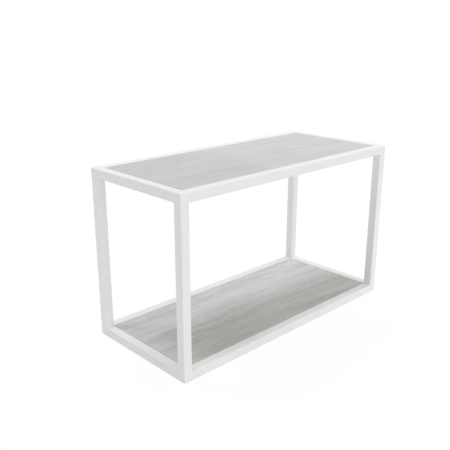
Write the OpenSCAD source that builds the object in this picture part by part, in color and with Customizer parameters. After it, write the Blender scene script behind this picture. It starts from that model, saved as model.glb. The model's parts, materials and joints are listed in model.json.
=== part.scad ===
// Console table: a welded frame of square steel tube that carries a stone top and a
// stone shelf, each set flush between its rails.
//
// The origin is on the floor, at the middle of the footprint.
// +X runs along the length, +Y runs to the back and +Z points up. Lengths are in mm.

/* [Frame] */
// Length of the frame
frame_length = 1285; // [900:5:1600]
// Depth of the frame, front to back
frame_depth = 575; // [350:5:700]
// Height of the frame, without the glides under it
frame_height = 760; // [400:5:900]

/* [Tube] */
// Outside width of the square tube
tube_w = 40; // [38:1:50]
// Wall thickness of the square tube
tube_wall = 2; // [1.5:0.5:3]
// Outside corner radius of the square tube
tube_r = 3; // [2.5:0.5:5]
// Thickness of the plates that close a post's two ends
end_plate_t = 4; // [3:0.5:6]

/* [Panels] */
// Thickness of the stone top and of the stone shelf
panel_t = 12; // [8:1:14]
// Open joint between a panel and the rails around it
panel_gap = 1; // [0.5:0.5:3]
// Width of the bevel along a panel's upper edges
panel_bevel = 0.8; // [0.3:0.1:2]

/* [Panel supports] */
// Leg length of the steel angle that carries a panel's edges
angle_leg = 20; // [14:1:20]
// Thickness of the steel angle
angle_t = 3; // [2:0.5:4]
// Outside width of the square tube bearers under a panel
bearer_w = 20; // [14:1:20]
// Wall thickness of the bearers
bearer_wall = 1.5; // [1:0.5:2]
// Diameter of a silicone pad
pad_d = 12; // [6:1:14]
// Thickness of a silicone pad
pad_t = 2; // [1:0.5:3]

/* [Glides] */
// Diameter of a nylon glide
glide_d = 28; // [20:1:32]
// Thickness of a glide below the frame
glide_t = 2; // [1:0.5:5]
// Diameter of the stem that plugs into the base plate
stem_d = 10; // [8:0.5:12]

/* [Hidden] */
// Name of each corner, and which way it lies from the middle along X and Y.
CORNERS = [
    ["front_left", -1, -1],
    ["front_right", 1, -1],
    ["back_left", -1, 1],
    ["back_right", 1, 1]
];
LONG_SIDES = [["front", -1], ["back", 1]];
SHORT_SIDES = [["left", -1], ["right", 1]];
TIERS = ["top", "shelf"];

// Every round in the part is a true arc at this count.
$fn = 48;

steel_white = [0.93, 0.93, 0.92];
stone_grey = [0.79, 0.81, 0.80];
nylon_white = [0.88, 0.88, 0.86];
silicone_clear = [0.80, 0.84, 0.86];

// Room between two rails that face each other.
inner_length = frame_length - 2 * tube_w;
inner_depth = frame_depth - 2 * tube_w;

// The frame stands on its glides. A panel's upper face is flush with its rails' upper faces.
frame_bottom = glide_t;
frame_top = frame_bottom + frame_height;
shelf_level = frame_bottom + tube_w;
function panel_level(tier) = tier == "top" ? frame_top : shelf_level;
function rail_bottom(tier) = panel_level(tier) - tube_w;
function support_level(tier) = panel_level(tier) - panel_t - pad_t;

tube_bore = tube_w - 2 * tube_wall;
tube_bore_r = max(tube_r - tube_wall, 0.5);

// The bearers split each long rail into equal bays, with one length of angle in each.
bay_count = len(SHORT_SIDES) + 1;
bay = inner_length / bay_count;
weld_room = 1;
long_ledge = bay - bearer_w - 2 * weld_room;
short_ledge = inner_depth - 2 * (angle_leg + weld_room);

// Pads sit in the middle of a leg, this far from its two ends.
pad_inset = 40;
pad_line = angle_leg / 2;

// Legs of the weld that fills the groove at a tube's rounded corner, and of an inside fillet.
groove_leg = 0.56 * tube_r;
fillet_leg = 2;

// The glide's stem has a barb that springs open above the base plate.
stem_clearance = 0.1;
barb_d = stem_d + 1.2;
barb_h = 8;
barb_tip_d = stem_d - 3;
glide_bevel = 0.6;

// ---- Sections and directions ----

module rounded_rect(w, h, r) {
    square([w, h - 2 * r], center = true);
    square([w - 2 * r, h], center = true);
    for (sx = [-1, 1], sy = [-1, 1])
        translate([sx * (w / 2 - r), sy * (h / 2 - r)])
            circle(r);
}

module tube_section(w, wall, r) {
    difference() {
        rounded_rect(w, w, r);
        rounded_rect(w - 2 * wall, w - 2 * wall, max(r - wall, 0.5));
    }
}

// Angle with its corner at the origin: one leg out along X at the top, one leg down along Y.
module angle_section() {
    polygon([
        [0, 0],
        [angle_leg, 0],
        [angle_leg, -angle_t],
        [angle_t, -angle_t],
        [angle_t, -angle_leg],
        [0, -angle_leg]
    ]);
}

// An outline drawn in Y and Z, run along X about the middle.
module along_x(length) {
    rotate([90, 0, 90])
        linear_extrude(length, center = true)
            children();
}

// An outline drawn in X and Z, run along Y about the middle.
module along_y(length) {
    rotate([90, 0, 0])
        linear_extrude(length, center = true)
            children();
}

// ---- Frame ----

// The frame's outer shape, with its top and bottom edges rounded like the tube.
module frame_envelope() {
    translate([0, 0, frame_bottom + frame_height / 2])
        intersection() {
            along_x(frame_length + 2) rounded_rect(frame_depth, frame_height, tube_r);
            along_y(frame_depth + 2) rounded_rect(frame_length, frame_height, tube_r);
        }
}

module at_post(sx, sy, z) {
    translate([
        sx * (frame_length - tube_w) / 2,
        sy * (frame_depth - tube_w) / 2,
        z
    ])
        children();
}

module post(sx, sy) {
    color(steel_white)
        intersection() {
            at_post(sx, sy, frame_bottom)
                linear_extrude(frame_height)
                    tube_section(tube_w, tube_wall, tube_r);
            frame_envelope();
        }
}

// Rail along X, between two posts.
module long_rail(tier, sy) {
    color(steel_white)
        translate([0, sy * (frame_depth - tube_w) / 2, rail_bottom(tier) + tube_w / 2])
            along_x(inner_length)
                tube_section(tube_w, tube_wall, tube_r);
}

// Rail along Y, between two posts.
module short_rail(tier, sx) {
    color(steel_white)
        translate([sx * (frame_length - tube_w) / 2, 0, rail_bottom(tier) + tube_w / 2])
            along_y(inner_depth)
                tube_section(tube_w, tube_wall, tube_r);
}

module end_plate() {
    linear_extrude(end_plate_t)
        rounded_rect(tube_bore, tube_bore, tube_bore_r);
}

module top_plate(sx, sy) {
    color(steel_white)
        intersection() {
            at_post(sx, sy, frame_top - end_plate_t) end_plate();
            frame_envelope();
        }
}

module base_plate(sx, sy) {
    color(steel_white)
        difference() {
            intersection() {
                at_post(sx, sy, frame_bottom) end_plate();
                frame_envelope();
            }
            at_post(sx, sy, frame_bottom - 1)
                cylinder(d = stem_d + 2 * stem_clearance, h = end_plate_t + 2);
        }
}

// ---- Welds ----

// Upright fill where the post's rounded edge meets a rail's end, leg_x and leg_y from its corner.
module groove_weld(x, y, z, leg_x, leg_y) {
    translate([x, y, z + tube_r])
        linear_extrude(tube_w - 2 * tube_r)
            polygon([[0, 0], [leg_x, 0], [0, leg_y]]);
}

// The welds at one end of a long rail and one end of a short rail, at one post.
// The open side of the rails faces up on the shelf's tier and down on the top's.
module corner_welds(tier, sx, sy) {
    x_out = sx * frame_length / 2;
    y_out = sy * frame_depth / 2;
    x_in = sx * inner_length / 2;
    y_in = sy * inner_depth / 2;
    z = rail_bottom(tier);
    open_way = tier == "top" ? -1 : 1;
    open_face = tier == "top" ? z : panel_level(tier);
    fillet_run = tube_w - 2 * tube_r;

    groove_weld(x_in, y_out, z, sx * groove_leg, -sy * groove_leg);
    groove_weld(x_out, y_in, z, -sx * groove_leg, sy * groove_leg);
    groove_weld(x_in, y_in, z, sx * groove_leg, sy * groove_leg);
    translate([x_in, sy * (frame_depth - tube_w) / 2, open_face])
        along_y(fillet_run)
            polygon([[0, 0], [-sx * fillet_leg, 0], [0, open_way * fillet_leg]]);
    translate([sx * (frame_length - tube_w) / 2, y_in, open_face])
        along_x(fillet_run)
            polygon([[0, 0], [-sy * fillet_leg, 0], [0, open_way * fillet_leg]]);
}

module welds(tier) {
    color(steel_white)
        for (c = CORNERS)
            corner_welds(tier, c[1], c[2]);
}

// ---- Panel supports ----

// Lengths of angle along a long rail's inner face, one in each bay.
module long_ledge(tier, sy) {
    color(steel_white)
        for (i = [0 : bay_count - 1])
            translate([(i + 0.5) * bay - inner_length / 2, sy * inner_depth / 2, support_level(tier)])
                mirror([0, sy > 0 ? 1 : 0, 0])
                    along_x(long_ledge)
                        angle_section();
}

// One length of angle along a short rail's inner face.
module short_ledge(tier, sx) {
    color(steel_white)
        translate([sx * inner_length / 2, 0, support_level(tier)])
            mirror([sx > 0 ? 1 : 0, 0, 0])
                along_y(short_ledge)
                    angle_section();
}

// Small tube across the frame, between the long rails.
module bearer(tier, sx) {
    color(steel_white)
        translate([sx * bay / 2, 0, support_level(tier) - bearer_w / 2])
            along_y(inner_depth)
                tube_section(bearer_w, bearer_wall, bearer_wall + 0.5);
}

// Middle of each pad: two on every length of angle and two on each bearer.
pad_places = concat(
    [
        for (sy = [-1, 1], i = [0 : bay_count - 1], end = [-1, 1])
            [
                (i + 0.5) * bay - inner_length / 2 + end * (long_ledge / 2 - pad_inset),
                sy * (inner_depth / 2 - pad_line)
            ]
    ],
    [
        for (sx = [-1, 1], end = [-1, 1])
            [sx * (inner_length / 2 - pad_line), end * (short_ledge / 2 - pad_inset)]
    ],
    [
        for (sx = [-1, 1], end = [-1, 1])
            [sx * bay / 2, end * inner_depth / 6]
    ]
);

module pads(tier) {
    color(silicone_clear)
        for (p = pad_places)
            translate([p[0], p[1], support_level(tier)])
                cylinder(d = pad_d, h = pad_t);
}

// ---- Panels ----

// A slab's edge-on outline with its two upper edges bevelled.
module slab_section(width) {
    half = width / 2;
    polygon([
        [-half, 0],
        [half, 0],
        [half, panel_t - panel_bevel],
        [half - panel_bevel, panel_t],
        [panel_bevel - half, panel_t],
        [-half, panel_t - panel_bevel]
    ]);
}

module panel(tier) {
    panel_length = inner_length - 2 * panel_gap;
    panel_depth = inner_depth - 2 * panel_gap;
    color(stone_grey)
        translate([0, 0, panel_level(tier) - panel_t])
            intersection() {
                along_x(panel_length) slab_section(panel_depth);
                along_y(panel_depth) slab_section(panel_length);
            }
}

// ---- Glides ----

module glide(sx, sy) {
    barb_z = glide_t + end_plate_t + stem_clearance;
    color(nylon_white)
        at_post(sx, sy, 0)
            rotate_extrude()
                polygon([
                    [0, 0],
                    [glide_d / 2 - glide_bevel, 0],
                    [glide_d / 2, glide_bevel],
                    [glide_d / 2, glide_t],
                    [stem_d / 2, glide_t],
                    [stem_d / 2, barb_z],
                    [barb_d / 2, barb_z],
                    [barb_tip_d / 2, barb_z + barb_h],
                    [0, barb_z + barb_h]
                ]);
}

// ---- The nodes ----

for (c = CORNERS) {
    post(c[1], c[2]);
    top_plate(c[1], c[2]);
    base_plate(c[1], c[2]);
    glide(c[1], c[2]);
}

for (t = TIERS) {
    for (s = LONG_SIDES) {
        long_rail(t, s[1]);
        long_ledge(t, s[1]);
    }
    for (s = SHORT_SIDES) {
        short_rail(t, s[1]);
        short_ledge(t, s[1]);
        bearer(t, s[1]);
    }
    welds(t);
    pads(t);
    panel(t);
}
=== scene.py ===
"""Looks of the console table: powder-coated steel frame, two honed stone panels, pads and glides.

Lengths are in metres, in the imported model's frame: +X along the table, +Y to its back, +Z up.
"""

import json
import math

import bmesh
import bpy
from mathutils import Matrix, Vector


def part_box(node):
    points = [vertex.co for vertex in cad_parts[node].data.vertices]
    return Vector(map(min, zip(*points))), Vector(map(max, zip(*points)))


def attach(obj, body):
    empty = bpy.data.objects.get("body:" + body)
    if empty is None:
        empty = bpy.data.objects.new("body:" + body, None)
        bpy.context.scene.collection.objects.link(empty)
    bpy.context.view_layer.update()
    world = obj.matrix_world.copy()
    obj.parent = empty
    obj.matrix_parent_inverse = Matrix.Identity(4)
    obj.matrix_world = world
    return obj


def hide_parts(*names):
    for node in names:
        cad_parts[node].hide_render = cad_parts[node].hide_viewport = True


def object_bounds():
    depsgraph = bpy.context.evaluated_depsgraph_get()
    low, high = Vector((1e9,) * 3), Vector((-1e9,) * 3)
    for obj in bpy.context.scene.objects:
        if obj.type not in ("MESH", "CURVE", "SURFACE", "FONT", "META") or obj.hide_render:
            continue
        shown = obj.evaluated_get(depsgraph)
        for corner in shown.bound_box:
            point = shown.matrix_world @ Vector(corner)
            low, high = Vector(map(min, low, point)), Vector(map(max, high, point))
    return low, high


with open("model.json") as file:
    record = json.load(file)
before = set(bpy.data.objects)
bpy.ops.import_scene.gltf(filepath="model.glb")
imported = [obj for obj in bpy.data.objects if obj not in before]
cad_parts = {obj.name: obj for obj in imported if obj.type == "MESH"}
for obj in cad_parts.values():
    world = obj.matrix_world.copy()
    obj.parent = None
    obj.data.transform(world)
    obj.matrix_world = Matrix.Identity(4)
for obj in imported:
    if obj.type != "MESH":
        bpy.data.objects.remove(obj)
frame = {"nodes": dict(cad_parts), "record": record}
CAD_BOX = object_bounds()

ROOT = "root"
TIERS = ("top", "shelf")
CORNERS = ("front_left", "front_right", "back_left", "back_right")


# ---------------------------------------------------------------- node helpers

# Most of what a noise node gives lies between the first and the last of these.
NOISE_LOW, NOISE_MIDDLE, NOISE_HIGH = 0.3, 0.5, 0.7


class Graph:
    """A material's node tree, with short calls that add a node and link its inputs."""

    def __init__(self, name):
        self.material = bpy.data.materials.new(name)
        self.material.use_nodes = True
        self.tree = self.material.node_tree
        self.tree.nodes.clear()
        self.output = self.add("ShaderNodeOutputMaterial")
        self.shader = self.add("ShaderNodeBsdfPrincipled")
        self.link(self.shader.outputs["BSDF"], self.output.inputs["Surface"])

    def add(self, kind, **settings):
        node = self.tree.nodes.new(kind)
        for key, value in settings.items():
            setattr(node, key, value)
        return node

    def link(self, source, target):
        self.tree.links.new(source, target)

    def put(self, socket, value):
        """Links an output to a socket, or sets the socket to a plain value."""
        if isinstance(value, bpy.types.NodeSocket):
            self.link(value, socket)
        else:
            socket.default_value = value

    def math(self, operation, *values):
        node = self.add("ShaderNodeMath", operation=operation)
        for socket, value in zip(node.inputs, values):
            self.put(socket, value)
        return node.outputs[0]

    def object_point(self, turn=0.0, offset=(0, 0, 0)):
        """Position on the table in metres, turned about Z by an angle and then moved by offset."""
        node = self.add("ShaderNodeMapping")
        self.put(node.inputs["Vector"], self.add("ShaderNodeTexCoord").outputs["Object"])
        node.inputs["Rotation"].default_value = (0, 0, turn)
        node.inputs["Location"].default_value = offset
        return node.outputs[0]

    def stretch(self, point, scale):
        node = self.add("ShaderNodeVectorMath", operation="MULTIPLY")
        self.put(node.inputs[0], point)
        self.put(node.inputs[1], scale)
        return node.outputs[0]

    def split(self, point):
        """The X, Y and Z of a point."""
        node = self.add("ShaderNodeSeparateXYZ")
        self.put(node.inputs[0], point)
        return node.outputs[0], node.outputs[1], node.outputs[2]

    def warp(self, point, amount, scale):
        """Point pushed about by slow noise across the pattern, so that straight lines wander."""
        noise = self.add("ShaderNodeTexNoise", noise_dimensions="3D")
        self.put(noise.inputs["Vector"], point)
        self.put(noise.inputs["Scale"], scale)
        self.put(noise.inputs["Detail"], 2.0)
        centred = self.add("ShaderNodeVectorMath", operation="SUBTRACT")
        self.put(centred.inputs[0], noise.outputs["Color"])
        self.put(centred.inputs[1], (NOISE_MIDDLE, NOISE_MIDDLE, NOISE_MIDDLE))
        push = self.add("ShaderNodeVectorMath", operation="MULTIPLY")
        self.put(push.inputs[0], centred.outputs[0])
        self.put(push.inputs[1], (0.0, amount, amount))
        moved = self.add("ShaderNodeVectorMath", operation="ADD")
        self.put(moved.inputs[0], point)
        self.put(moved.inputs[1], push.outputs[0])
        return moved.outputs[0]

    def noise(self, point, scale, detail=3.0, roughness=0.5):
        node = self.add("ShaderNodeTexNoise", noise_dimensions="3D")
        self.put(node.inputs["Vector"], point)
        self.put(node.inputs["Scale"], scale)
        self.put(node.inputs["Detail"], detail)
        self.put(node.inputs["Roughness"], roughness)
        return node.outputs[0]

    def remap(self, value, low, high, new_low, new_high):
        node = self.add("ShaderNodeMapRange")
        node.clamp = True
        # Inputs 1 to 4 are From Min, From Max, To Min and To Max.
        for socket, number in zip(node.inputs[1:5], (low, high, new_low, new_high)):
            socket.default_value = number
        self.put(node.inputs[0], value)
        return node.outputs[0]

    def spread(self, noise, low, high):
        """Noise spread from low to high."""
        return self.remap(noise, NOISE_LOW, NOISE_HIGH, low, high)

    def blend(self, factor, first, second, mode="MIX"):
        node = self.add("ShaderNodeMix", data_type="RGBA", blend_type=mode)
        self.put(node.inputs[0], factor)
        # A colour mix takes A and B at inputs 6 and 7, and gives its result at output 2.
        self.put(node.inputs[6], first)
        self.put(node.inputs[7], second)
        return node.outputs[2]

    def bump(self, height, distance, normal=None):
        node = self.add("ShaderNodeBump")
        node.inputs["Strength"].default_value = 1.0
        node.inputs["Distance"].default_value = distance
        self.put(node.inputs["Height"], height)
        if normal is not None:
            self.put(node.inputs["Normal"], normal)
        return node.outputs[0]

    def mix_shaders(self, factor, first, second):
        node = self.add("ShaderNodeMixShader")
        self.put(node.inputs[0], factor)
        self.link(first, node.inputs[1])
        self.link(second, node.inputs[2])
        return node.outputs[0]

    def clear_from_behind(self, front):
        """Shows the front shader from the front, and nothing from the back."""
        clear = self.add("ShaderNodeBsdfTransparent").outputs[0]
        behind = self.add("ShaderNodeNewGeometry").outputs["Backfacing"]
        self.link(self.mix_shaders(behind, front, clear), self.output.inputs["Surface"])

    def surface(self, **sockets):
        """Sets the shader's own sockets: color, roughness, normal and any other by its name."""
        names = {"color": "Base Color", "roughness": "Roughness", "normal": "Normal"}
        for key, value in sockets.items():
            self.put(self.shader.inputs[names.get(key, key.replace("_", " "))], value)
        return self.material


# ---------------------------------------------------------------- materials

# Powder coat: its two tones, its roughness, and its waves a metre and their heights in metres.
COAT_DARK, COAT_PALE = (0.847, 0.847, 0.843, 1), (0.882, 0.882, 0.879, 1)
COAT_ROUGHNESS = (0.42, 0.52)
DRIFT_WAVES, SWELL_WAVES, PEEL_WAVES = 5.0, 160.0, 650.0
SWELL_HEIGHT, PEEL_HEIGHT = 0.00012, 0.00006
PEEL_SOFTNESS = 0.4
# Refraction of the coat and of polished stone.
COMMON_IOR = 1.5


def powder_coat():
    """Satin white polyester powder on steel: fine orange peel, and a slow drift in tone."""
    g = Graph("powder_coat")
    drift = g.noise(g.object_point(), DRIFT_WAVES, detail=2.0)
    color = g.blend(drift, COAT_DARK, COAT_PALE)
    peel = g.noise(g.object_point(), PEEL_WAVES, detail=2.0, roughness=PEEL_SOFTNESS)
    swell = g.noise(g.object_point(), SWELL_WAVES, detail=1.0)
    normal = g.bump(peel, PEEL_HEIGHT, g.bump(swell, SWELL_HEIGHT))
    roughness = g.spread(peel, *COAT_ROUGHNESS)
    return g.surface(color=color, roughness=roughness, normal=normal, IOR=COMMON_IOR)


# The stone's pattern runs along the table. Each layer: how many waves a metre along and across
# the pattern, its detail, and how much it darkens or lightens the stone.
STONE_LAYERS = [
    (1.6, 16.0, 3.0, 0.028),
    (3.0, 28.0, 2.0, 0.045),
    (6.0, 50.0, 1.5, 0.030),
    (30.0, 110.0, 2.0, 0.028),
    (420.0, 620.0, 2.0, 0.034),
]
# Veins: waves a metre along and across, half width as a share of a wave, and tone.
STONE_VEINS = [
    (1.1, 13.0, 0.030, -0.024),
    (2.7, 34.0, 0.016, -0.026),
]
# Dark marks where a wave peaks: waves a metre along and across, the peak they start at, and tone.
STONE_MARKS = [
    (9.0, 85.0, 0.66, -0.110),
    (150.0, 210.0, 0.70, -0.140),
]
# The top slab's tones: a darker, cooler left part painted as shade, and the lit stone.
TOP_PAINTED_SHADE, TOP_PALE = (0.568, 0.583, 0.586, 1), (0.625, 0.634, 0.620, 1)
# The shelf slab's tones: the painted shadow of the top over its front half, and the lit stone.
SHELF_PAINTED_SHADOW, SHELF_PALE = (0.500, 0.514, 0.490, 1), (0.604, 0.623, 0.620, 1)
SHELF_TURN = math.radians(3.5)
TOP_CONTRAST, SHELF_CONTRAST = 1.0, 1.6
# How far the streaks wander sideways, in metres, and how many times a metre.
STREAK_WANDER, STREAK_BENDS = 0.035, 3.5
# Where each slab was cut from the block, in metres.
TOP_OFFSET, SHELF_OFFSET = (3.1, 1.7, 0.0), (10.2, 3.4, 0.0)
# How far a vein strays, and how often in its own waves. How soon a dark mark fades in.
VEIN_STRAY, VEIN_BENDS = 0.7, 0.9
MARK_FADE = 0.12
# The streaky edge between a slab's lit tone and its painted shade: its waves a metre, and the noise
# spread over it.
EDGE_WAVES = (2.5, 24.0, 24.0)
EDGE_NOISE = (0.25, 0.75)
# Where each painted shade gives way to the lit stone, in metres, and how far its edge wanders.
LEFT_EDGE, LEFT_WANDER = (-0.21, -0.04), 0.06
FRONT_EDGE, FRONT_WANDER = (-0.06, 0.06), 0.025
END_EDGE, END_WANDER = (-0.58, -0.47), 0.03
# The honed surface.
HONED_ROUGHNESS, GRAIN_ROUGHNESS = (0.38, 0.48), (0.0, 0.08)
POLISH_WAVES = (6.0, 55.0, 55.0)
GRAIN_WAVES, GRAIN_HEIGHT = 700.0, 0.00003


def stone_tone(g, pattern, contrast):
    """How light the stone is at a point, about 1, from its layers, veins and marks."""
    def wave(along, across, detail):
        return g.noise(g.stretch(pattern, (along, across, across)), 1.0, detail=detail)

    tone = 0.0
    for along, across, detail, change in STONE_LAYERS:
        layer = g.spread(wave(along, across, detail), -change, change)
        tone = g.math("ADD", layer, tone)
    for along, across, width, change in STONE_VEINS:
        stretched = g.stretch(pattern, (along, across, across))
        line = g.noise(g.warp(stretched, VEIN_STRAY, VEIN_BENDS), 1.0, detail=2.0)
        off_line = g.math("ABSOLUTE", g.math("SUBTRACT", line, NOISE_MIDDLE))
        tone = g.math("ADD", g.remap(off_line, 0.0, width, change, 0.0), tone)
    for along, across, peak, change in STONE_MARKS:
        mark = g.remap(wave(along, across, 1.0), peak, peak + MARK_FADE, 0.0, change)
        tone = g.math("ADD", mark, tone)
    return g.math("MULTIPLY_ADD", tone, contrast, 1.0)


def honed_stone(name, turn, offset, contrast, painted_shade_part, painted_shade_tone, pale):
    """Honed grey marble with streaks, veins and grain, painted darker as shade over part of the slab
    along a streaky edge.
    """
    g = Graph(name)
    place = g.object_point(turn)
    pattern = g.warp(g.object_point(turn, offset), STREAK_WANDER, STREAK_BENDS)
    wander = g.noise(g.stretch(pattern, EDGE_WAVES), 1.0, detail=4.0)
    # Painted shade: the shaded tone is laid over the part of the slab that the region marks.
    hue_and_painted_shade = g.blend(painted_shade_part(g, place, g.remap(wander, *EDGE_NOISE, -1.0, 1.0)), pale, painted_shade_tone)
    tone = stone_tone(g, pattern, contrast)
    shade = g.add("ShaderNodeCombineColor")
    for channel in shade.inputs[:3]:
        g.put(channel, tone)
    color = g.blend(1.0, hue_and_painted_shade, shade.outputs[0], mode="MULTIPLY")

    grain = g.noise(pattern, GRAIN_WAVES, detail=2.0)
    polish = g.noise(g.stretch(pattern, POLISH_WAVES), 1.0, detail=3.0)
    honed, rough_grain = g.spread(polish, *HONED_ROUGHNESS), g.spread(grain, *GRAIN_ROUGHNESS)
    roughness = g.math("ADD", honed, rough_grain)
    normal = g.bump(grain, GRAIN_HEIGHT)
    return g.surface(color=color, roughness=roughness, normal=normal, IOR=COMMON_IOR)


def left_painted_shade(g, place, wander):
    """The left two fifths of the slab: painted shade on the top slab, also cooler in hue."""
    x, _, _ = g.split(place)
    return g.remap(g.math("MULTIPLY_ADD", wander, LEFT_WANDER, x), *LEFT_EDGE, 1.0, 0.0)


def front_painted_shadow(g, place, wander):
    """The front half of the slab, short of its left end: the painted shadow of the top on the shelf.
    """
    x, y, _ = g.split(place)
    front = g.remap(g.math("MULTIPLY_ADD", wander, FRONT_WANDER, y), *FRONT_EDGE, 1.0, 0.0)
    inward = g.remap(g.math("MULTIPLY_ADD", wander, END_WANDER, x), *END_EDGE, 0.0, 1.0)
    return g.math("MULTIPLY", front, inward)


SILICONE_DARK, SILICONE_PALE = (0.68, 0.72, 0.73, 1), (0.78, 0.81, 0.82, 1)
SILICONE_ROUGHNESS = (0.25, 0.4)
HAZE_WAVES = 300.0
SILICONE_IOR = 1.41


def silicone():
    """Milky soft silicone, drawn opaque."""
    g = Graph("silicone")
    haze = g.noise(g.object_point(), HAZE_WAVES, detail=2.0)
    color = g.blend(haze, SILICONE_DARK, SILICONE_PALE)
    roughness = g.spread(haze, *SILICONE_ROUGHNESS)
    return g.surface(color=color, roughness=roughness, IOR=SILICONE_IOR)


NYLON_DARK, NYLON_PALE = (0.76, 0.76, 0.73, 1), (0.82, 0.82, 0.80, 1)
NYLON_ROUGHNESS = (0.45, 0.6)
MOTTLE_WAVES, SPARK_WAVES, SPARK_HEIGHT = 90.0, 1400.0, 0.00003
NYLON_IOR = 1.53


def nylon():
    """Moulded white nylon with a fine spark-eroded texture."""
    g = Graph("nylon")
    mottle = g.noise(g.object_point(), MOTTLE_WAVES, detail=2.0)
    color = g.blend(mottle, NYLON_DARK, NYLON_PALE)
    spark = g.noise(g.object_point(), SPARK_WAVES, detail=2.0)
    roughness = g.spread(spark, *NYLON_ROUGHNESS)
    normal = g.bump(spark, SPARK_HEIGHT)
    return g.surface(color=color, roughness=roughness, normal=normal, IOR=NYLON_IOR)


# ---------------------------------------------------------------- mesh helpers

# Steps on a quarter arc: on most of them, on an angle's toes, and on the rim of a pad or glide.
ROUND_STEPS, TOE_STEPS, RIM_STEPS = 6, 4, 5
# Points closer than this, in metres, are joined: in a new piece, and in a mesh from the pack.
MERGE_DISTANCE, PACK_MERGE_DISTANCE = 1e-7, 1e-6
# Faces that meet at more than this angle, in degrees, keep a sharp edge.
SHARP_ANGLE = 40


def arc(center, radius, start, end, steps):
    """Points on an arc in a plane, from one angle to another in degrees."""
    angles = [math.radians(start + (end - start) * i / steps) for i in range(steps + 1)]
    return [(center[0] + radius * math.cos(a), center[1] + radius * math.sin(a)) for a in angles]


def rounded_rectangle(half_x, half_y, radius):
    """An outline about the origin, with four rounded corners."""
    points = []
    for turn, (side_x, side_y) in enumerate(((1, 1), (-1, 1), (-1, -1), (1, -1))):
        center = (side_x * (half_x - radius), side_y * (half_y - radius))
        points += arc(center, radius, 90 * turn, 90 * (turn + 1), ROUND_STEPS)
    return points


def skin(mesh, rings):
    """Joins rings of equally many points into a closed surface, with a face over each end."""
    loops = [[mesh.verts.new(point) for point in ring] for ring in rings]
    for lower, upper in zip(loops, loops[1:]):
        for i, vert in enumerate(lower):
            j = (i + 1) % len(lower)
            mesh.faces.new((vert, lower[j], upper[j], upper[i]))
    mesh.faces.new(list(reversed(loops[0])))
    mesh.faces.new(loops[-1])


def turned(mesh, profile, place, steps):
    """A solid turned about a vertical axis through place, from (radius, height) points."""
    rings = [
        [Vector(place) + Vector((x, y, height)) for x, y in arc((0, 0), radius, 0, 360, steps)[:-1]]
        for radius, height in profile
    ]
    skin(mesh, rings)


def swept(mesh, section, stations):
    """A section of (across, up) points carried through stations of (origin, across, up)."""
    skin(mesh, [[o + a * p + u * q for p, q in section] for o, a, u in stations])


def finish_piece(name, mesh, material, slot, *nodes):
    """Turns a bmesh into a piece that rides on the table and stands for CAD nodes."""
    bmesh.ops.remove_doubles(mesh, verts=mesh.verts, dist=MERGE_DISTANCE)
    bmesh.ops.recalc_face_normals(mesh, faces=mesh.faces)
    data = bpy.data.meshes.new(name)
    mesh.to_mesh(data)
    mesh.free()
    data.shade_smooth()
    data.set_sharp_from_angle(angle=math.radians(SHARP_ANGLE))
    data.materials.append(material)
    piece = bpy.data.objects.new(name, data)
    bpy.context.scene.collection.objects.link(piece)
    shading = piece.modifiers.new("flat_faces_stay_flat", "WEIGHTED_NORMAL")
    shading.keep_sharp = True
    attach(piece, ROOT)
    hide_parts(*nodes)


def solids_in(node):
    """The box of each separate solid in a CAD node, as (low, high) corners."""
    mesh = bmesh.new()
    mesh.from_mesh(frame["nodes"][node].data)
    bmesh.ops.remove_doubles(mesh, verts=mesh.verts, dist=PACK_MERGE_DISTANCE)
    boxes = []
    unseen = set(mesh.verts)
    while unseen:
        solid = []
        edge = [unseen.pop()]
        while edge:
            vert = edge.pop()
            solid.append(vert.co.copy())
            for link in vert.link_edges:
                other = link.other_vert(vert)
                if other in unseen:
                    unseen.remove(other)
                    edge.append(other)
        low = Vector([min(point[i] for point in solid) for i in range(3)])
        high = Vector([max(point[i] for point in solid) for i in range(3)])
        boxes.append((low, high))
    mesh.free()
    return sorted(boxes, key=lambda box: tuple(box[0]))


# ---------------------------------------------------------------- the object

TUBE_CORNER = 0.003

SLAB_CORNER = 0.0016
SLAB_ARRIS = 0.0011
SLAB_UNDERCUT = 0.0005


def slab(tier, stone):
    """A stone slab with softly rounded upper edges and a fine chamfer under its rim."""
    low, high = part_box(f"{tier}_panel")
    middle = (low + high) / 2
    half = (high - low) / 2
    profile = [(SLAB_UNDERCUT, low.z), (0.0, low.z + SLAB_UNDERCUT)]
    profile += arc((SLAB_ARRIS, high.z - SLAB_ARRIS), SLAB_ARRIS, 180, 90, ROUND_STEPS)
    rings = []
    for inset, level in profile:
        outline = rounded_rectangle(half.x - inset, half.y - inset, SLAB_CORNER - inset)
        rings.append([Vector((middle.x + x, middle.y + y, level)) for x, y in outline])
    mesh = bmesh.new()
    skin(mesh, rings)
    finish_piece(f"{tier}_slab", mesh, stone, "stone", f"{tier}_panel")


COLLAR_DEPTH = 0.0031
COLLAR_RECESS = 0.00003
BEAD_SIZE = 0.0026
BEAD_PITCH = 0.0028
BEAD_RIPPLE = 0.05
BEAD_TAPER = 0.004
BEAD_END_SHARE = 0.15
BEAD_STEPS = 60


def collar(mesh, low, high, along, side):
    """Weld metal that carries a rail's outline into its post, dressed flush with both."""
    across = Vector((0, 1, 0)) if along.x else Vector((1, 0, 0))
    up = Vector((0, 0, 1))
    half = (high.z - low.z) / 2 - COLLAR_RECESS
    section = rounded_rectangle(half, half, TUBE_CORNER)
    end = Vector([(low[i] + high[i]) / 2 for i in range(3)])
    reach = (high - low).dot(along) / 2
    stations = [(end + along * side * (reach + d), across, up) for d in (0.0, COLLAR_DEPTH)]
    swept(mesh, section, stations)


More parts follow.
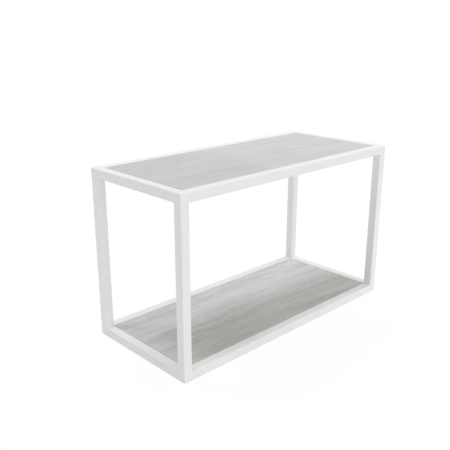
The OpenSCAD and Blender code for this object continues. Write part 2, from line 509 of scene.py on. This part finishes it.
def bead(mesh, start, end, along_face, up_post):
    """A small hollow fillet weld in an inside corner, rippled and tapered off at its ends."""
    run = (end - start).length
    rings = []
    for i in range(BEAD_STEPS + 1):
        distance = run * i / BEAD_STEPS
        fade = min(1.0, min(distance, run - distance) / BEAD_TAPER)
        ripple = 1.0 + BEAD_RIPPLE * math.cos(2 * math.pi * distance / BEAD_PITCH)
        swell = (1 - BEAD_END_SHARE) * math.sin(fade * math.pi / 2)
        size = BEAD_SIZE * (BEAD_END_SHARE + swell) * ripple
        origin = start + (end - start) * (i / BEAD_STEPS)
        hollow = [
            origin + along_face * (size * (1 - p)) + up_post * (size * (1 - q))
            for p, q in arc((0, 0), 1.0, 0, 90, ROUND_STEPS)
        ]
        rings.append([origin] + hollow)
    skin(mesh, rings)


def rail_ends(tier):
    """Each rail end: the rail's box, the way the rail runs, and which of its ends."""
    for rail, along in (("front", "X"), ("back", "X"), ("left", "Y"), ("right", "Y")):
        low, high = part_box(f"{tier}_rail_{rail}")
        way = Vector((1, 0, 0)) if along == "X" else Vector((0, 1, 0))
        for side in (-1, 1):
            yield low, high, way, side


def welds(tier, coat):
    """The welds at a tier's four corners: flush collars, and fillets on the rails' open side."""
    mesh = bmesh.new()
    up = Vector((0, 0, 1 if tier == "shelf" else -1))
    for low, high, way, side in rail_ends(tier):
        collar(mesh, low, high, way, side)
        middle = (low + high) / 2
        across = Vector((abs(way.y), abs(way.x), 0))
        reach = (high - low).dot(way) / 2
        width = (high - low).dot(across) / 2 - TUBE_CORNER
        corner = middle + way * side * reach + up * (high.z - low.z) / 2
        bead(mesh, corner - across * width, corner + across * width, -way * side, up)
    finish_piece(f"{tier}_weld_beads", mesh, coat, "frame_paint", f"{tier}_welds")


ANGLE_T = 0.003
ANGLE_ROOT = 0.0028
ANGLE_TOE = 0.0014


def angle_section(leg):
    """Rolled angle: square outside corner, rounded root and toes; flat leg on top."""
    section = [(0.0, 0.0), (leg, 0.0)]
    section += arc((leg - ANGLE_TOE, ANGLE_TOE - ANGLE_T), ANGLE_TOE, 0, -90, TOE_STEPS)
    root = ANGLE_T + ANGLE_ROOT
    section += arc((root, -root), ANGLE_ROOT, 90, 180, ROUND_STEPS)
    section += arc((ANGLE_T - ANGLE_TOE, ANGLE_TOE - leg), ANGLE_TOE, 0, -90, TOE_STEPS)
    section.append((0.0, -leg))
    return section


def ledge(tier, side, coat):
    """The lengths of rolled angle along one rail's inner face."""
    node = f"{tier}_ledge_{side}"
    way = Vector((1, 0, 0)) if side in ("front", "back") else Vector((0, 1, 0))
    inward = Vector((abs(way.y), abs(way.x), 0)) * (1 if side in ("front", "left") else -1)
    up = Vector((0, 0, 1))
    mesh = bmesh.new()
    for low, high in solids_in(node):
        middle = (low + high) / 2
        leg = high.z - low.z
        corner = middle - inward * leg / 2 + up * leg / 2
        reach = (high - low).dot(way) / 2
        swept(mesh, angle_section(leg), [(corner + way * d, inward, up) for d in (-reach, reach)])
    finish_piece(f"{tier}_angle_{side}", mesh, coat, "frame_paint", node)


PAD_ROUND = 0.0007
PAD_SIDES = 24
# Points on a pad's profile, as shares of its radius and of its height, from its foot upwards.
PAD_SIDE = [(0.93, 0.0), (0.985, 0.2)]
PAD_SHOULDER = 0.9
PAD_CROWN = [(0.6, 0.985), (0.25, 1.0)]


def pads(tier, silicone_pad):
    """Bumpers that a slab rests on, slightly crowned."""
    node = f"{tier}_pads"
    mesh = bmesh.new()
    for low, high in solids_in(node):
        middle = (low + high) / 2
        radius = (high.x - low.x) / 2
        height = high.z - low.z
        shoulder = (radius - PAD_ROUND, height * PAD_SHOULDER - PAD_ROUND)
        profile = [(radius * out, height * up) for out, up in PAD_SIDE]
        profile += arc(shoulder, PAD_ROUND, 0, 90, RIM_STEPS)
        profile += [(radius * out, height * up) for out, up in PAD_CROWN]
        turned(mesh, profile, (middle.x, middle.y, low.z), PAD_SIDES)
    finish_piece(f"{tier}_bumpers", mesh, silicone_pad, "silicone", node)


GLIDE_FLANGE_T = 0.002
GLIDE_EDGE = 0.0007
STEM_CLEARANCE = 0.0001
STEM_R = 0.005
STEM_FILLET = 0.0004
PLATE_T = 0.004
GLIDE_BREAK = 0.0002
GLIDE_SIDES = 48
# The dimple under a glide, as (radius, height), and the groove round it, whose radii are shares.
GLIDE_DIMPLE = [(0.0016, 0.0005), (0.0022, 0.0)]
GLIDE_GROOVE = [(0.62, 0.0), (0.64, 0.0004), (0.70, 0.0004), (0.72, 0.0)]
# The barb, out from the stem and up from its own foot. The tip, in from the stem and down from
# the top.
BARB = [(0.0005, 0.0001), (0.0006, 0.0004), (0.0003, 0.003)]
STEM_TIP = [(0.0012, 0.0006), (0.0018, 0.0001), (0.0024, 0.0)]


def glide(corner, nylon_white):
    """A plug-in glide: flange with a rounded rim and a groove under it, stem and sprung barb."""
    node = f"glide_{corner}"
    low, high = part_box(node)
    middle = (low + high) / 2
    radius = (high.x - low.x) / 2
    top = high.z - low.z
    barb = GLIDE_FLANGE_T + PLATE_T + STEM_CLEARANCE
    profile = list(GLIDE_DIMPLE)
    profile += [(radius * share, height) for share, height in GLIDE_GROOVE]
    profile += arc((radius - GLIDE_EDGE, GLIDE_EDGE), GLIDE_EDGE, -90, 0, RIM_STEPS)
    profile += [(radius, GLIDE_FLANGE_T - GLIDE_BREAK), (radius - GLIDE_BREAK, GLIDE_FLANGE_T)]
    profile += [(STEM_R + STEM_FILLET, GLIDE_FLANGE_T), (STEM_R, GLIDE_FLANGE_T + STEM_FILLET)]
    profile.append((STEM_R, barb))
    profile += [(STEM_R + out, barb + up) for out, up in BARB]
    profile += [(STEM_R - inward, top - down) for inward, down in STEM_TIP]
    mesh = bmesh.new()
    turned(mesh, profile, (middle.x, middle.y, low.z), GLIDE_SIDES)
    finish_piece(f"nylon_glide_{corner}", mesh, nylon_white, "nylon", node)


def build_table(coat, stones, silicone_pad, nylon_white):
    """Every piece made here, on both tiers and at the four corners."""
    for tier in TIERS:
        slab(tier, stones[tier])
        welds(tier, coat)
        pads(tier, silicone_pad)
        for side in ("front", "back", "left", "right"):
            ledge(tier, side, coat)
    for corner in CORNERS:
        glide(corner, nylon_white)


def coat_steel(coat):
    """The tubes and plates keep their CAD shape, and are powder coated."""
    for part in frame["record"]["subparts"]:
        obj = frame["nodes"][part["node"]]
        if not obj.hide_render:
            obj.data.materials.clear()
            obj.data.materials.append(coat)


# ---------------------------------------------------------------- stage

# The camera was found by fitting the frame's straight edges to the photo's.
CAMERA_PLACE = Vector((-1.98251, -1.92032, 1.34117))
CAMERA_AZIMUTH = math.radians(43.602)
CAMERA_DROP = math.radians(18.187)
CAMERA_LENS = 50.146
SENSOR = 36.0
CAMERA_REACH = 100.0

# The lights' strengths were fitted to the photo's tones and rounded. After that the front glow
# was raised a little. The floor's glow was set separately.
# Each soft box: where it hangs, the length of its side, and how bright its face is.
SOFT_BOXES = {
    "high_behind_left": ((-1.6, 1.6, 3.9), 1.2, 7.3),
    "high_behind_right": ((0.8, 1.7, 4.1), 1.2, 5.4),
    "high_right": ((3.6, 0.0, 2.6), 2.0, 3.8),
}
SOFT_BOX_TINT = (0.955, 0.955, 1.0)
WARM_WHITE = (1.0, 1.0, 0.92, 1)
COOL_WHITE = (0.94, 0.94, 1.0, 1)
# The room's own light: the same from all sides, and what is added overhead and in front.
ROOM_EVEN = 0.15
ROOM_SIDES = [((0, 0, 1), 0.53, WARM_WHITE), ((0, -1, 0), 0.93, COOL_WHITE)]
# The floor glows a little. To the camera it is mostly plain white, and wholly so far away. That
# white is barely over 1, because a brighter one would clip at the frame's edges and thin them.
FLOOR_GLOW = 0.10
FLOOR_WHITE = 1.02
FLOOR_PLAIN_NEAR = 0.85
FLOOR_PLAIN_FAR = 1.0
# Where near ends and far begins, in metres from the table's middle.
FLOOR_NEAR_TO_FAR = (1.0, 6.0)
FLOOR_HALF = 30.0
FLOOR_DARK, FLOOR_PALE = (0.875, 0.875, 0.875, 1), (0.885, 0.885, 0.885, 1)
FLOOR_WAVES, FLOOR_ROUGHNESS = 3.0, 0.9
WHITE = (1, 1, 1, 1)


def make_camera():
    data = bpy.data.cameras.new("camera")
    data.sensor_width = SENSOR
    data.lens = CAMERA_LENS
    data.clip_end = CAMERA_REACH
    camera = bpy.data.objects.new("camera", data)
    camera.location = CAMERA_PLACE
    ahead = Vector((
        math.sin(CAMERA_AZIMUTH) * math.cos(CAMERA_DROP),
        math.cos(CAMERA_AZIMUTH) * math.cos(CAMERA_DROP),
        -math.sin(CAMERA_DROP),
    ))
    camera.rotation_mode = "QUATERNION"
    camera.rotation_quaternion = ahead.to_track_quat("-Z", "Y")
    bpy.context.scene.collection.objects.link(camera)
    bpy.context.scene.camera = camera


def make_floor():
    """A broad white floor, plain white far away and clear from beneath, to show the underside."""
    turns = ((-1, -1), (1, -1), (1, 1), (-1, 1))
    corners = [(x * FLOOR_HALF, y * FLOOR_HALF, 0) for x, y in turns]
    mesh = bpy.data.meshes.new("floor")
    mesh.from_pydata(corners, [], [(0, 1, 2, 3)])
    floor = bpy.data.objects.new("floor", mesh)
    bpy.context.scene.collection.objects.link(floor)
    g = Graph("floor")
    color = g.blend(g.noise(g.object_point(), FLOOR_WAVES), FLOOR_DARK, FLOOR_PALE)
    distance = g.add("ShaderNodeVectorMath", operation="LENGTH")
    g.put(distance.inputs[0], g.object_point())
    far_off = distance.outputs["Value"]
    plain = g.remap(far_off, *FLOOR_NEAR_TO_FAR, FLOOR_PLAIN_NEAR, FLOOR_PLAIN_FAR)
    seen = g.add("ShaderNodeLightPath").outputs["Is Camera Ray"]
    white = g.add("ShaderNodeEmission")
    white.inputs["Strength"].default_value = FLOOR_WHITE
    g.surface(color=color, roughness=FLOOR_ROUGHNESS, Emission_Strength=FLOOR_GLOW)
    g.shader.inputs["Emission Color"].default_value = WHITE
    g.shader.inputs["Specular IOR Level"].default_value = 0.0
    shares = g.math("MULTIPLY", plain, seen)
    g.clear_from_behind(g.mix_shaders(shares, g.shader.outputs[0], white.outputs[0]))
    floor.data.materials.append(g.material)


def make_soft_box(name, place, side, brightness, middle):
    """A square soft box that faces the table's middle, evenly bright over its whole face."""
    data = bpy.data.lights.new(name, "AREA")
    data.shape = "SQUARE"
    data.size = side
    data.color = SOFT_BOX_TINT
    data.energy = brightness * math.pi * side**2
    lamp = bpy.data.objects.new(name, data)
    lamp.location = place
    lamp.rotation_mode = "QUATERNION"
    lamp.rotation_quaternion = (middle - Vector(place)).to_track_quat("-Z", "Y")
    bpy.context.scene.collection.objects.link(lamp)


def room_glow(tree, toward, brightness, tint):
    """Light from one side of the room, brightest from straight toward and none from behind it."""
    direction = tree.nodes.new("ShaderNodeTexCoord").outputs["Generated"]
    facing = tree.nodes.new("ShaderNodeVectorMath")
    facing.operation = "DOT_PRODUCT"
    facing.inputs[1].default_value = toward
    strength = tree.nodes.new("ShaderNodeMapRange")
    strength.inputs["To Max"].default_value = brightness
    glow = tree.nodes.new("ShaderNodeBackground")
    glow.inputs["Color"].default_value = tint
    tree.links.new(direction, facing.inputs[0])
    tree.links.new(facing.outputs["Value"], strength.inputs["Value"])
    tree.links.new(strength.outputs["Result"], glow.inputs["Strength"])
    return glow.outputs[0]


def even_glow(tree, brightness, tint):
    glow = tree.nodes.new("ShaderNodeBackground")
    glow.inputs["Color"].default_value = tint
    glow.inputs["Strength"].default_value = brightness
    return glow.outputs[0]


def make_room():
    """A white room, lighter overhead and in front. Where it is seen it is plain white."""
    world = bpy.data.worlds.new("studio")
    world.use_nodes = True
    tree = world.node_tree
    tree.nodes.clear()
    light = even_glow(tree, ROOM_EVEN, WARM_WHITE)
    for toward, brightness, tint in ROOM_SIDES:
        both = tree.nodes.new("ShaderNodeAddShader")
        tree.links.new(light, both.inputs[0])
        tree.links.new(room_glow(tree, toward, brightness, tint), both.inputs[1])
        light = both.outputs[0]
    choice = tree.nodes.new("ShaderNodeMixShader")
    out = tree.nodes.new("ShaderNodeOutputWorld")
    tree.links.new(tree.nodes.new("ShaderNodeLightPath").outputs["Is Camera Ray"], choice.inputs[0])
    tree.links.new(light, choice.inputs[1])
    tree.links.new(even_glow(tree, 1.0, WHITE), choice.inputs[2])
    tree.links.new(choice.outputs[0], out.inputs["Surface"])
    bpy.context.scene.world = world


def make_light():
    """The room's own glow, and the soft boxes."""
    make_room()
    low, high = CAD_BOX
    for name, (place, side, brightness) in SOFT_BOXES.items():
        make_soft_box(name, place, side, brightness, (low + high) / 2)


def main():
    bpy.context.scene.view_settings.view_transform = "Standard"
    make_camera()
    make_floor()
    make_light()
    top_lit_and_painted_shade, shelf_lit_and_painted_shadow = (TOP_PAINTED_SHADE, TOP_PALE), (SHELF_PAINTED_SHADOW, SHELF_PALE)
    shelf_cut = (SHELF_TURN, SHELF_OFFSET, SHELF_CONTRAST)
    stones = {
        "top": honed_stone("stone_top", 0.0, TOP_OFFSET, TOP_CONTRAST, left_painted_shade, *top_lit_and_painted_shade),
        "shelf": honed_stone("stone_shelf", *shelf_cut, front_painted_shadow, *shelf_lit_and_painted_shadow),
    }
    coat = powder_coat()
    build_table(coat, stones, silicone(), nylon())
    coat_steel(coat)


main()
